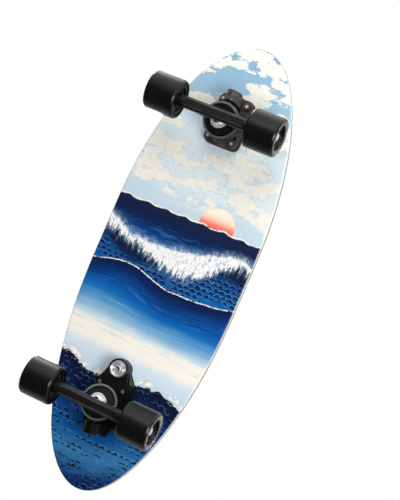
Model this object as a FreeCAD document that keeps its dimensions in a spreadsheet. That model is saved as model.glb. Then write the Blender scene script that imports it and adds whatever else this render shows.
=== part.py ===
import FreeCAD, Part
import math
import os
import Sketcher

# Surfskate: a kicktail deck on two trucks. The rear truck only leans; the front truck hangs
# from an arm that also swings about an upright pivot and is brought back by a spring.
# Frame: +X to the nose, +Y to the rider's left, +Z up, origin on the ground under the middle
# of the deck. Each truck is drawn about the middle of its own axle, with +X towards the middle
# of the board and +Z towards the deck, and then placed.

doc = FreeCAD.newDocument("Surfskate")
sheet = doc.addObject("Spreadsheet::Sheet", "Dims")

DIMENSIONS = {
    # deck
    "deckLength": 762.0,
    "deckWidth": 254.0,
    "deckThick": 11.0,
    "tailReach": 313.5,        # tail half-ellipse, along X
    "noseReach": 353.0,        # nose half-ellipse, along X
    "tailFlatEnd": 300.0,      # where the kicktail starts, behind the origin
    "tailBendRadius": 220.0,
    "tailBendAngle": 17.0,
    "noseFlatEnd": 290.0,      # where the nose starts to lift
    "noseBendRadius": 420.0,
    "noseBendAngle": 10.0,
    "edgeRound": 3.2,
    "gripThick": 0.9,
    "gripInset": 4.5,
    # stance
    "wheelbase": 477.0,
    "rearAxlePlace": -243.2,
    "wheelRadius": 31.0,
    "axleDrop": 94.0,          # deck underside to axle
    # wheels
    "wheelWidth": 51.0,
    "wheelMiddle": 84.5,       # centre plane of a wheel, from the middle of the truck
    "wheelLip": 3.4,
    "coreRadius": 19.0,
    "coreWidth": 40.0,
    "coreSpokes": 8.0,
    "bearingRadius": 11.0,
    "bearingBore": 4.0,
    "bearingWidth": 7.0,
    "bearingGap": 10.0,        # spacer length between the two bearings
    "axleRadius": 3.97,
    "axleLength": 212.0,
    "axleNutAcross": 12.7,
    "axleNutWidth": 6.5,
    # deck bolts
    "boltAcross": 41.3,
    "boltRadius": 2.4,
    "boltHole": 2.7,
    "boltHeadRadius": 4.6,
    "boltNutAcross": 8.8,
    "boltNutHeight": 5.0,
    "rearBoltInner": 26.2,     # from the axle, towards the middle of the board
    "rearBoltSpare": 16.7,
    "rearBoltOuter": -37.3,
    "frontBoltInner": 29.0,
    "frontBoltOuter": -25.0,
    # truck castings, about the axle
    "rearRiser": 10.0,
    "frontRiser": 3.0,
    "flangeThick": 8.0,
    "flangeWidth": 57.0,
    "flangeInner": 34.4,
    "flangeOuter": -47.3,
    "ringHeight": 43.0,        # middle of the hanger's ring, above the axle
    "kingpinLean": 12.0,
    "ringThick": 9.0,
    "ringRadius": 29.0,
    "ringHole": 8.0,
    "rimRise": 3.5,
    "seatReach": 19.5,         # ring middle to the board-side bushing's seat
    "seatRadius": 15.0,
    "seatRoot": 38.0,          # where the seat's pedestal ends inside the rear casting
    "armSeatRoot": 30.0,       # and inside the front arm
    "seatRelief": 12.0,        # cleared height in front of the seat
    "kingpinRadius": 4.75,
    "kingpinHeadAcross": 14.0,
    "kingpinHeadStart": 26.5,
    "kingpinHeadHeight": 5.5,
    "roadBushing": 11.0,
    "bushingRadius": 12.0,
    "roadBushingTip": 9.5,
    "washerRadius": 13.0,
    "washerThick": 2.2,
    "kingpinNutAcross": 14.0,
    "kingpinNutHeight": 7.0,
    "noseRadius": 7.0,
    "noseTip": 41.0,           # ring middle to the pivot nose's tip
    "cupRadius": 9.6,
    "cupPlay": 0.1,
    "cupWall": 3.0,
    "bossRadius": 12.5,
    "bossStart": 31.0,
    "bossEnd": 49.0,
    "towerRise": 9.0,          # from the ring's middle up to the boss's tower
    "towerLength": 16.0,
    "towerOuter": -46.5,
    "barHalf": 52.0,
    "barThick": 18.0,
    "barCollar": 71.3,         # end of the hanger, against the inner speed washer
    "barCollarRadius": 9.6,
    "gussetFoot": 46.0,
    "gussetThick": 13.0,
    # front pivot
    "armReach": 57.8,          # front axle to the arm's pivot
    "armEndRadius": 16.6,
    "armHalf": 29.0,
    "armFlare": 27.0,          # from the pivot to where the arm is at its widest
    "armHalfLow": 25.5,
    "armTop": 79.0,            # deck-side face, above the axle
    "armStep": 71.0,           # where the wide skirt meets the narrower body
    "armBottom": 64.0,         # road-side face, above the axle
    "armTail": -49.0,
    "armCollar": 5.0,          # rim around the pivot nut
    "armCollarBore": 14.2,
    "frontPlate": 11.0,
    "plateHubRadius": 12.5,
    "plateOuter": -36.0,
    "pivotRadius": 5.0,
    "pivotHeadRadius": 9.0,
    "pivotHeadHeight": 4.5,
    "pivotSocket": 6.0,        # hexagon socket in the bolt's end, across flats
    "sleeveWall": 1.0,
    "runningPlay": 0.05,
    "hubRadius": 8.4,
    "springWire": 3.2,
    "springRadius": 10.6,
    "springPitch": 4.2,
    "springTurns": 1.5,
    "springLeg": 14.0,
    "springLow": 70.0,         # middle of the lowest turn, above the axle
    "pocketRadius": 12.9,
    "pocketRoof": 67.2,
    "postPlay": 0.3,
    "postInner": 12.7,
    "postThick": 2.5,
    "thrustThick": 1.6,
    "nutRadius": 13.0,
    "nutHeight": 4.5,
    "plugAlong": 28.3,         # access hole over the inner deck nuts, from the axle
    "plugRadius": 3.0,
    "lugRadius": 4.8,
}


class Size:
    """A length or angle: its value, and the expression that ties it to the sheet."""

    def __init__(self, value, text):
        self.value = value
        self.text = text

    def __add__(self, other):
        other = as_size(other)
        return Size(self.value + other.value, "(%s + %s)" % (self.text, other.text))

    def __radd__(self, other):
        return as_size(other) + self

    def __sub__(self, other):
        other = as_size(other)
        return Size(self.value - other.value, "(%s - %s)" % (self.text, other.text))

    def __rsub__(self, other):
        return as_size(other) - self

    def __mul__(self, other):
        other = as_size(other)
        return Size(self.value * other.value, "(%s * %s)" % (self.text, other.text))

    __rmul__ = __mul__

    def __truediv__(self, other):
        other = as_size(other)
        return Size(self.value / other.value, "(%s / %s)" % (self.text, other.text))

    def __neg__(self):
        return Size(-self.value, "(-1 * %s)" % self.text)

    def __float__(self):
        return float(self.value)


def as_size(value):
    if isinstance(value, Size):
        return value
    return Size(float(value), "%g" % value)


class Dims:
    """Named access to the sheet, as dims.deckWidth."""


dims = Dims()
for row, (alias, number) in enumerate(DIMENSIONS.items(), start=1):
    sheet.set("A%d" % row, alias)
    sheet.set("B%d" % row, "%g" % number)
    sheet.setAlias("B%d" % row, alias)
    setattr(dims, alias, Size(number, "Dims." + alias))
doc.recompute()

ORIGIN = FreeCAD.Placement()
nodes = []


# ---------------------------------------------------------------- placing

def place(x=0, y=0, z=0, turn=None):
    turn = turn or FreeCAD.Rotation()
    return FreeCAD.Placement(FreeCAD.Vector(float(x), float(y), float(z)), turn)


def about(axis, angle):
    return FreeCAD.Rotation(FreeCAD.Vector(*axis), float(angle))


ALONG_Y = about((1, 0, 0), -90)

axle_height = dims.wheelRadius
deck_base = dims.wheelRadius + dims.axleDrop
front_axle_place = dims.rearAxlePlace + dims.wheelbase
REAR = place(dims.rearAxlePlace, 0, axle_height)
FRONT = place(front_axle_place, 0, axle_height, about((0, 0, 1), 180))
# Along the kingpin: origin in the middle of the hanger's ring, +Z towards the deck.
KINGPIN = place(0, 0, dims.ringHeight, about((0, 1, 0), -dims.kingpinLean))
# Along the lean axis: same origin, +Z out to the pivot nose.
NOSE = place(0, 0, dims.ringHeight, about((0, 1, 0), dims.kingpinLean - 90))
# Along the swing pivot: origin on its axis at the axle's height, +Z towards the deck.
PIVOT = place(dims.armReach)


# ---------------------------------------------------------------- solids

def bind(thing, name, size):
    size = as_size(size)
    setattr(thing, name, size.value)
    thing.setExpression(name, size.text)


def cylinder(name, radius, length, where=ORIGIN):
    solid = doc.addObject("Part::Cylinder", name)
    bind(solid, "Radius", radius)
    bind(solid, "Height", length)
    solid.Placement = where
    return solid


def cone(name, radius_low, radius_high, length, where=ORIGIN):
    solid = doc.addObject("Part::Cone", name)
    bind(solid, "Radius1", radius_low)
    bind(solid, "Radius2", radius_high)
    bind(solid, "Height", length)
    solid.Placement = where
    return solid


def block(name, length, width, height, x, y, z):
    """A box of length, width and height along X, Y and Z, with its low corner at x, y, z."""
    solid = doc.addObject("Part::Box", name)
    bind(solid, "Length", length)
    bind(solid, "Width", width)
    bind(solid, "Height", height)
    solid.Placement = place(x, y, z)
    return solid


def prism(name, across, length, where=ORIGIN):
    """A hexagonal bar of the given width across its flats."""
    solid = doc.addObject("Part::Prism", name)
    solid.Polygon = 6
    bind(solid, "Circumradius", across / math.sqrt(3))
    bind(solid, "Height", length)
    solid.Placement = where
    return solid


def ball(name, radius, where=ORIGIN):
    solid = doc.addObject("Part::Sphere", name)
    bind(solid, "Radius", radius)
    solid.Placement = where
    return solid


def fuse(name, solids, where=ORIGIN):
    result = doc.addObject("Part::MultiFuse", name)
    result.Shapes = solids
    result.Refine = True
    result.Placement = where
    return result


def cut(name, base, tools, where=ORIGIN):
    """Takes the tools away from the base."""
    tool = tools[0] if len(tools) == 1 else fuse(name + "_tools", tools)
    result = doc.addObject("Part::Cut", name)
    result.Base = base
    result.Tool = tool
    result.Refine = True
    result.Placement = where
    return result


def group(name, solids, where=ORIGIN):
    """Separate solids kept together as one node."""
    result = doc.addObject("Part::Compound", name)
    result.Links = solids
    result.Placement = where
    return result


def sketch_on(body, name, role):
    plane = next(item for item in body.Origin.OriginFeatures if item.Role == role)
    sketch = body.newObject("Sketcher::SketchObject", name)
    sketch.AttachmentSupport = [(plane, "")]
    sketch.MapMode = "FlatFace"
    return sketch


def tie(sketch, kind, geometry, point, size):
    """Holds a point's distance from the sketch's origin, as DistanceX or DistanceY."""
    size = as_size(size)
    index = sketch.addConstraint(
        Sketcher.Constraint(kind, -1, 1, geometry, point, size.value))
    sketch.setExpression("Constraints[%d]" % index, size.text)


def polygon(sketch, points):
    """Closes straight lines through the points, each held by its two sizes."""
    count = len(points)
    corners = [FreeCAD.Vector(float(a), float(b), 0) for a, b in points]
    first = sketch.GeometryCount
    for index in range(count):
        line = Part.LineSegment(corners[index], corners[(index + 1) % count])
        sketch.addGeometry(line, False)
    for index in range(count):
        following = first + (index + 1) % count
        sketch.addConstraint(Sketcher.Constraint("Coincident", first + index, 2, following, 1))
    for index, (a, b) in enumerate(points):
        tie(sketch, "DistanceX", first + index, 1, a)
        tie(sketch, "DistanceY", first + index, 1, b)


def turned(name, points, where=ORIGIN):
    """A body turned about Z from a profile of (radius, height) points."""
    body = doc.addObject("PartDesign::Body", name)
    sketch = sketch_on(body, name + "_profile", "XZ_Plane")
    polygon(sketch, points)
    doc.recompute()
    feature = body.newObject("PartDesign::Revolution", name + "_turn")
    feature.Profile = sketch
    feature.ReferenceAxis = (sketch, ["V_Axis"])
    feature.Angle = 360.0
    body.Tip = feature
    body.Placement = where
    return body


def padded(name, role, points, length, where=ORIGIN, midplane=False):
    """A body pushed out from a polygon of points on one of the origin planes."""
    body = doc.addObject("PartDesign::Body", name)
    sketch = sketch_on(body, name + "_outline", role)
    polygon(sketch, points)
    doc.recompute()
    feature = body.newObject("PartDesign::Pad", name + "_pad")
    feature.Profile = sketch
    bind(feature, "Length", length)
    feature.Midplane = midplane
    body.Tip = feature
    body.Placement = where
    return body


def rounded(name, base, picks, radius):
    """Fillets the edges of a Part object that the pick function accepts."""
    doc.recompute()
    result = doc.addObject("Part::Fillet", name)
    result.Base = base
    edges = base.Shape.Edges
    result.Edges = [(index + 1, float(radius), float(radius))
                    for index, edge in enumerate(edges) if picks(edge)]
    return result


def keep(node, name):
    node.Label = name
    nodes.append(node)
    return node


# ---------------------------------------------------------------- deck

half_length = dims.deckLength / 2
half_width = dims.deckWidth / 2
tail_centre = dims.tailReach - half_length
nose_centre = half_length - dims.noseReach
OUTLINE_DROP = 20.0        # the outline starts this far below the deck's underside
OUTLINE_DEPTH = 160.0      # and is taller than the kicktail, so that it cuts all of the profile
END_SPARE = 30.0           # the side profile runs on this far past the outline


def deck_outline(name, inset):
    """The outline seen from above: two half-ellipses joined by a straight middle."""
    lobes = []
    for side, centre, reach in (("tail", tail_centre, dims.tailReach),
                                ("nose", nose_centre, dims.noseReach)):
        ellipse = doc.addObject("Part::Ellipse", "%s_%s_ellipse" % (name, side))
        bind(ellipse, "MajorRadius", reach - inset)
        bind(ellipse, "MinorRadius", half_width - inset)
        lobe = doc.addObject("Part::Extrusion", "%s_%s_lobe" % (name, side))
        lobe.Base = ellipse
        lobe.Dir = FreeCAD.Vector(0, 0, 1)
        lobe.LengthFwd = OUTLINE_DEPTH
        lobe.Solid = True
        lobe.Placement = place(centre)
        lobes.append(lobe)
    middle = block(name + "_middle", nose_centre - tail_centre, dims.deckWidth - inset * 2,
                   OUTLINE_DEPTH, tail_centre, inset - half_width, 0)
    return fuse(name, lobes + [middle], place(0, 0, deck_base - OUTLINE_DROP))


def side_profile(name, low, high):
    """The deck seen from the side between two heights above its underside: a flat middle with
    a kicktail and a gentle nose lift, each an arc that runs into a straight end."""
    def station(start, radius, angle, height, sign):
        """The three points of one end at a height: bend start, bend end and tip."""
        bend = math.radians(float(angle))
        reach = float(radius) - height
        centre_x = sign * float(start)
        centre_z = float(radius)
        begin = FreeCAD.Vector(centre_x, 0, height)
        middle = FreeCAD.Vector(centre_x + sign * reach * math.sin(bend / 2), 0,
                                centre_z - reach * math.cos(bend / 2))
        end = FreeCAD.Vector(centre_x + sign * reach * math.sin(bend), 0,
                             centre_z - reach * math.cos(bend))
        run = (float(half_length) + END_SPARE - abs(end.x)) / math.cos(bend)
        tip = end + FreeCAD.Vector(sign * run * math.cos(bend), 0, run * math.sin(bend))
        return begin, middle, end, tip

    tail = (dims.tailFlatEnd, dims.tailBendRadius, dims.tailBendAngle)
    nose = (dims.noseFlatEnd, dims.noseBendRadius, dims.noseBendAngle)
    low_tail = station(*tail, float(low), -1)
    low_nose = station(*nose, float(low), 1)
    high_tail = station(*tail, float(high), -1)
    high_nose = station(*nose, float(high), 1)
    edges = [
        Part.LineSegment(low_tail[0], low_nose[0]),
        Part.Arc(low_nose[0], low_nose[1], low_nose[2]),
        Part.LineSegment(low_nose[2], low_nose[3]),
        Part.LineSegment(low_nose[3], high_nose[3]),
        Part.LineSegment(high_nose[3], high_nose[2]),
        Part.Arc(high_nose[2], high_nose[1], high_nose[0]),
        Part.LineSegment(high_nose[0], high_tail[0]),
        Part.Arc(high_tail[0], high_tail[1], high_tail[2]),
        Part.LineSegment(high_tail[2], high_tail[3]),
        Part.LineSegment(high_tail[3], low_tail[3]),
        Part.LineSegment(low_tail[3], low_tail[2]),
        Part.Arc(low_tail[2], low_tail[1], low_tail[0]),
    ]
    face = Part.Face(Part.Wire([edge.toShape() for edge in edges]))
    slab = doc.addObject("Part::Feature", name)
    slab.Shape = face.extrude(FreeCAD.Vector(0, float(dims.deckWidth) + 20, 0))
    slab.Placement = place(0, -half_width - 10, deck_base)
    return slab


def bolt_places():
    """Middles of the eight deck bolts, as lists of (x, y) for the rear and the front truck."""
    half_across = dims.boltAcross / 2
    rear_x = (dims.rearAxlePlace + dims.rearBoltInner, dims.rearAxlePlace + dims.rearBoltOuter)
    front_x = (front_axle_place - dims.frontBoltInner, front_axle_place - dims.frontBoltOuter)
    return [[(x, y) for x in row for y in (-half_across, half_across)]
            for row in (rear_x, front_x)]


REAR_BOLTS, FRONT_BOLTS = bolt_places()
HEAD_DEPTH = 3.0           # countersunk heads: depth of the cone
CROSS_WIDTH = 1.4          # and of the cross recess: width and length of a bar, and its depth
CROSS_LENGTH = 5.8
CROSS_DEPTH = 1.6


def deck_bolt_tools(name, radius, head_radius, low, high):
    """Countersunk bolt shapes at all eight places, from height low to the head's top at high."""
    tools = []
    for index, (x, y) in enumerate(REAR_BOLTS + FRONT_BOLTS):
        tools.append(cylinder("%s_shank_%d" % (name, index), radius, high - low, place(x, y, low)))
        tools.append(cone("%s_head_%d" % (name, index), radius, head_radius, HEAD_DEPTH,
                          place(x, y, high - HEAD_DEPTH)))
    return tools


deck_top = deck_base + dims.deckThick
blank = doc.addObject("Part::MultiCommon", "deck_blank")
blank.Shapes = [side_profile("deck_side", 0, dims.deckThick), deck_outline("deck_outline", 0)]


def is_rim(edge):
    """Long edges around the outline, and not the upright ones or those across the deck."""
    box = edge.BoundBox
    across = box.YLength > float(dims.deckWidth) * 0.9 and box.XLength < 1
    middle = edge.valueAt((edge.FirstParameter + edge.LastParameter) / 2)
    inside = abs(middle.y) < 0.5 and box.YLength > 100 and box.XLength < 5
    return not across and not inside and box.XLength + box.YLength > 1


edged = rounded("deck_edged", blank, is_rim, dims.edgeRound)
deck = cut("deck", edged, deck_bolt_tools("deck_hole", dims.boltHole, dims.boltHeadRadius + 0.3,
                                          deck_base - 5, deck_top + 0.01))
keep(deck, "deck")

sheet_of_grip = doc.addObject("Part::MultiCommon", "grip_blank")
sheet_of_grip.Shapes = [side_profile("grip_side", dims.deckThick, dims.deckThick + dims.gripThick),
                        deck_outline("grip_outline", dims.gripInset)]
grip_holes = [cylinder("grip_hole_%d" % index, dims.boltHeadRadius + 0.6, 10,
                       place(x, y, deck_top - 5))
              for index, (x, y) in enumerate(REAR_BOLTS + FRONT_BOLTS)]
keep(cut("grip_tape", sheet_of_grip, grip_holes), "grip_tape")


# ---------------------------------------------------------------- fasteners through the deck

rear_flange_face = deck_base - dims.rearRiser - dims.flangeThick
front_plate_face = deck_base - dims.frontRiser - dims.frontPlate
NUT_PLAY = 0.02            # threads are drawn plain, this far from the bolt


def deck_bolts(name, places, low):
    """Countersunk machine screws from the deck's top down to a height."""
    bolts = []
    for index, (x, y) in enumerate(places):
        shank = cylinder("%s_shank_%d" % (name, index), dims.boltRadius,
                         deck_top - low - HEAD_DEPTH, place(x, y, low))
        head = cone("%s_head_%d" % (name, index), dims.boltRadius, dims.boltHeadRadius,
                    HEAD_DEPTH, place(x, y, deck_top - HEAD_DEPTH))
        bars = [block("%s_cross_%d_%d" % (name, index, turn), length, width, CROSS_DEPTH + 1,
                      x - length / 2, y - width / 2, deck_top - CROSS_DEPTH)
                for turn, (length, width) in enumerate(((CROSS_WIDTH, CROSS_LENGTH),
                                                        (CROSS_LENGTH, CROSS_WIDTH)))]
        bolts.append(cut("%s_%d" % (name, index),
                         fuse("%s_blank_%d" % (name, index), [shank, head]), bars))
    return keep(group(name, bolts), name)


def deck_nuts(name, places, low):
    nuts = []
    for index, (x, y) in enumerate(places):
        nuts.append(cut("%s_%d" % (name, index),
                        prism("%s_hex_%d" % (name, index), dims.boltNutAcross,
                              dims.boltNutHeight, place(x, y, low)),
                        [cylinder("%s_thread_%d" % (name, index), dims.boltRadius + NUT_PLAY,
                                  dims.boltNutHeight + 2, place(x, y, low - 1))]))
    return keep(group(name, nuts), name)


deck_bolts("rear_deck_bolts", REAR_BOLTS, rear_flange_face - dims.boltNutHeight - 1.5)
deck_bolts("front_deck_bolts", FRONT_BOLTS, front_plate_face + 0.4)
deck_nuts("rear_deck_nuts", REAR_BOLTS, rear_flange_face - dims.boltNutHeight)
deck_nuts("front_deck_nuts", FRONT_BOLTS, front_plate_face + 0.7)


# ---------------------------------------------------------------- castings common to both trucks

def plate(name, outer_x, inner_x, width, low_z, thick, corner):
    """A flat plate with rounded corners, in the truck's frame."""
    slab = block(name + "_slab", inner_x - outer_x, width, thick, outer_x, -width / 2, low_z)
    return rounded(name, slab, lambda edge: edge.BoundBox.ZLength > 1, corner)


def bolt_hole_tools(name, along, radius, low_z, high_z):
    """Pairs of upright holes at distances along the truck."""
    return [cylinder("%s_%d_%d" % (name, index, side), radius, high_z - low_z,
                     place(x, dims.boltAcross / 2 * side, low_z))
            for index, x in enumerate(along) for side in (-1, 1)]


def seat_and_boss(name, seat_root, root_z):
    """The bushing's pedestal and the tower that holds the pivot cup's boss."""
    pedestal = cylinder(name + "_pedestal", dims.seatRadius, seat_root - dims.seatReach,
                        KINGPIN * place(0, 0, dims.seatReach))
    boss = cylinder(name + "_boss", dims.bossRadius, dims.bossEnd - dims.bossStart,
                    NOSE * place(0, 0, dims.bossStart))
    tower_low = dims.ringHeight + dims.towerRise
    tower = block(name + "_tower", dims.towerLength, dims.bossRadius * 2, root_z - tower_low,
                  dims.towerOuter, -dims.bossRadius, tower_low)
    return [pedestal, boss, tower]


def seat_and_boss_tools(name):
    """The kingpin's hole, its head's pocket, the pivot cup's bore and room for the bushing."""
    hole = cylinder(name + "_kingpin_hole", dims.kingpinRadius + NUT_PLAY, 30,
                    KINGPIN * place(0, 0, dims.seatReach - 4))
    pocket = cylinder(name + "_head_pocket", dims.kingpinHeadAcross / math.sqrt(3) + 0.1, 20,
                      KINGPIN * place(0, 0, dims.kingpinHeadStart))
    bore = cylinder(name + "_cup_bore", dims.cupRadius,
                    dims.noseTip + dims.cupPlay + dims.cupWall - dims.bossStart + 5,
                    NOSE * place(0, 0, dims.bossStart - 5))
    relief = cylinder(name + "_seat_relief", dims.seatRadius + 1, dims.seatRelief,
                      KINGPIN * place(0, 0, dims.seatReach - dims.seatRelief))
    return [hole, pocket, bore, relief]


def hanger(name, truck):
    """Axle bar, the dished ring around the kingpin, two gussets and the pivot nose."""
    half = dims.barThick / 2
    facet = dims.barThick / 2 - 3.5
    bar = padded(name + "_bar", "XZ_Plane",
                 [(-half, -facet), (-facet, -half), (facet, -half), (half, -facet),
                  (half, facet), (facet, half), (-facet, half), (-half, facet)],
                 dims.barHalf * 2, midplane=True)
    collar = cylinder(name + "_collar", dims.barCollarRadius, dims.barCollar * 2,
                      place(0, -dims.barCollar, 0, ALONG_Y))
    core = block(name + "_collar_gap", 30, dims.barHalf * 2 - 8, 30, -15, 4 - dims.barHalf, -15)
    ends = cut(name + "_ends", collar, [core])
    gussets = []
    for side in (-1, 1):
        gussets.append(padded("%s_gusset_%s" % (name, "right" if side < 0 else "left"),
                              "YZ_Plane",
                              [(side * 15.8, 5), (side * dims.gussetFoot, 5),
                               (side * (dims.gussetFoot - 2), 9), (side * 28, dims.ringHeight - 3),
                               (side * 17.5, dims.ringHeight - 3)],
                              dims.gussetThick, midplane=True))
    half_ring = dims.ringThick / 2
    rim = half_ring + dims.rimRise
    ring = turned(name + "_ring",
                  [(dims.ringHole, half_ring), (dims.ringRadius - 5, half_ring),
                   (dims.ringRadius, 0.5), (dims.ringRadius, -rim + 1),
                   (dims.ringRadius - 1, -rim), (dims.ringRadius - 3, -rim),
                   (dims.ringRadius - 6, -half_ring), (dims.ringHole, -half_ring)], KINGPIN)
    arm_start = dims.ringRadius - 9
    arm_end = dims.noseTip - dims.noseRadius
    nose = [cylinder(name + "_nose", dims.noseRadius, arm_end - arm_start,
                     NOSE * place(0, 0, arm_start)),
            ball(name + "_nose_tip", dims.noseRadius, NOSE * place(0, 0, arm_end))]
    bore = cylinder(name + "_axle_bore", dims.axleRadius + NUT_PLAY, dims.barCollar * 2 + 10,
                    place(0, -dims.barCollar - 5, 0, ALONG_Y))
    blank = fuse(name + "_casting", [bar, ends, ring] + gussets + nose)
    return keep(cut(name, blank, [bore], truck), name)


def truck_fittings(side, truck):
    """Kingpin, nut, bushings, washers, pivot cup, axle, its nuts and its speed washers."""
    half_ring = dims.ringThick / 2
    face_play = 0.1
    washer = dims.washerThick
    washer_low = half_ring + dims.roadBushing
    washer_end = washer_low + washer
    nut_end = washer_end + dims.kingpinNutHeight
    pin = dims.kingpinRadius + NUT_PLAY

    shank = cylinder(side + "_kingpin_shank", dims.kingpinRadius,
                     nut_end + 2.5 + dims.kingpinHeadStart,
                     KINGPIN * place(0, 0, -nut_end - 2.5))
    head = prism(side + "_kingpin_head", dims.kingpinHeadAcross, dims.kingpinHeadHeight,
                 KINGPIN * place(0, 0, dims.kingpinHeadStart))
    keep(fuse(side + "_kingpin", [shank, head], truck), side + "_kingpin")

    hexagon = prism(side + "_nut_hex", dims.kingpinNutAcross, dims.kingpinNutHeight,
                    KINGPIN * place(0, 0, -nut_end))
    insert = cylinder(side + "_nut_insert", dims.kingpinNutAcross / 2 - 0.8, 1.2,
                      KINGPIN * place(0, 0, -nut_end - 1.2))
    thread = cylinder(side + "_nut_thread", pin, 20, KINGPIN * place(0, 0, -nut_end - 5))
    keep(cut(side + "_kingpin_nut", fuse(side + "_nut_blank", [hexagon, insert]), [thread], truck),
         side + "_kingpin_nut")

    keep(turned(side + "_boardside_bushing",
                [(pin, half_ring + face_play), (dims.bushingRadius - 0.8, half_ring + face_play),
                 (dims.bushingRadius, half_ring + 1),
                 (dims.bushingRadius, dims.seatReach - washer - 1),
                 (dims.bushingRadius - 0.8, dims.seatReach - washer),
                 (pin, dims.seatReach - washer)], truck * KINGPIN), side + "_boardside_bushing")
    keep(turned(side + "_roadside_bushing",
                [(pin, -half_ring - face_play), (dims.bushingRadius, -half_ring - face_play),
                 (dims.bushingRadius, -half_ring - 2), (dims.roadBushingTip, -washer_low + 0.8),
                 (dims.roadBushingTip - 0.8, -washer_low), (pin, -washer_low)],
                truck * KINGPIN), side + "_roadside_bushing")

    lip = dims.washerRadius - 0.8
    board_washer = turned(side + "_washer_board",
                          [(pin, dims.seatReach), (dims.washerRadius - 0.5, dims.seatReach),
                           (dims.washerRadius, dims.seatReach - 0.6),
                           (dims.washerRadius, dims.seatReach - washer - 1.4),
                           (lip, dims.seatReach - washer - 1.4),
                           (lip, dims.seatReach - washer), (pin, dims.seatReach - washer)],
                          KINGPIN)
    road_washer = turned(side + "_washer_road",
                         [(pin, -washer_end), (dims.washerRadius - 0.5, -washer_end),
                          (dims.washerRadius, -washer_end + 0.6),
                          (dims.washerRadius, -washer_low + 1.4), (lip, -washer_low + 1.4),
                          (lip, -washer_low), (pin, -washer_low)], KINGPIN)
    keep(group(side + "_cupped_washers", [board_washer, road_washer], truck),
         side + "_cupped_washers")

    cup_end = dims.noseTip + dims.cupPlay + dims.cupWall
    tip_middle = dims.noseTip - dims.noseRadius
    cup_inner = dims.noseRadius + dims.cupPlay
    cup = cylinder(side + "_cup_outside", dims.cupRadius - NUT_PLAY, cup_end - dims.bossStart,
                   NOSE * place(0, 0, dims.bossStart))
    hollow = [cylinder(side + "_cup_hollow", cup_inner, tip_middle - dims.bossStart + 5,
                       NOSE * place(0, 0, dims.bossStart - 5)),
              ball(side + "_cup_floor", cup_inner, NOSE * place(0, 0, tip_middle))]
    keep(cut(side + "_pivot_cup", cup, hollow, truck), side + "_pivot_cup")

    reach = dims.axleLength / 2
    keep(turned(side + "_axle",
                [(0, -reach), (dims.axleRadius - 0.8, -reach), (dims.axleRadius, -reach + 0.8),
                 (dims.axleRadius, reach - 0.8), (dims.axleRadius - 0.8, reach), (0, reach)],
                truck * place(0, 0, 0, ALONG_Y)), side + "_axle")

    bearing_face = dims.bearingWidth + dims.bearingGap / 2
    inner_face = dims.wheelMiddle - bearing_face
    outer_face = dims.wheelMiddle + bearing_face
    speed_washer = 0.9
    gap = 0.15
    washers = []
    nuts = []
    for sign in (-1, 1):
        for near in (inner_face - gap - speed_washer, outer_face + gap):
            start = near if sign > 0 else -near - speed_washer
            label = "%s_speed_%d" % (side, len(washers))
            washers.append(cut(label, cylinder(label + "_disc", 6.8, speed_washer,
                                               place(0, start, 0, ALONG_Y)),
                               [cylinder(label + "_hole", dims.axleRadius + NUT_PLAY, 4,
                                         place(0, start - 1, 0, ALONG_Y))]))
        near = outer_face + gap + speed_washer + 0.05
        start = near if sign > 0 else -near - dims.axleNutWidth
        crown = near + dims.axleNutWidth if sign > 0 else -near - dims.axleNutWidth - 1.3
        label = "%s_axle_nut_%d" % (side, len(nuts))
        hexagon = prism(label + "_hex", dims.axleNutAcross, dims.axleNutWidth,
                        place(0, start, 0, ALONG_Y))
        insert = cylinder(label + "_insert", dims.axleNutAcross / 2 - 0.9, 1.3,
                          place(0, crown, 0, ALONG_Y))
        nuts.append(cut(label, fuse(label + "_blank", [hexagon, insert]),
                        [cylinder(label + "_hole", dims.axleRadius + NUT_PLAY, 14,
                                  place(0, start - 3, 0, ALONG_Y))]))
    keep(group(side + "_speed_washers", washers, truck), side + "_speed_washers")
    keep(group(side + "_axle_nuts", nuts, truck), side + "_axle_nuts")


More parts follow.
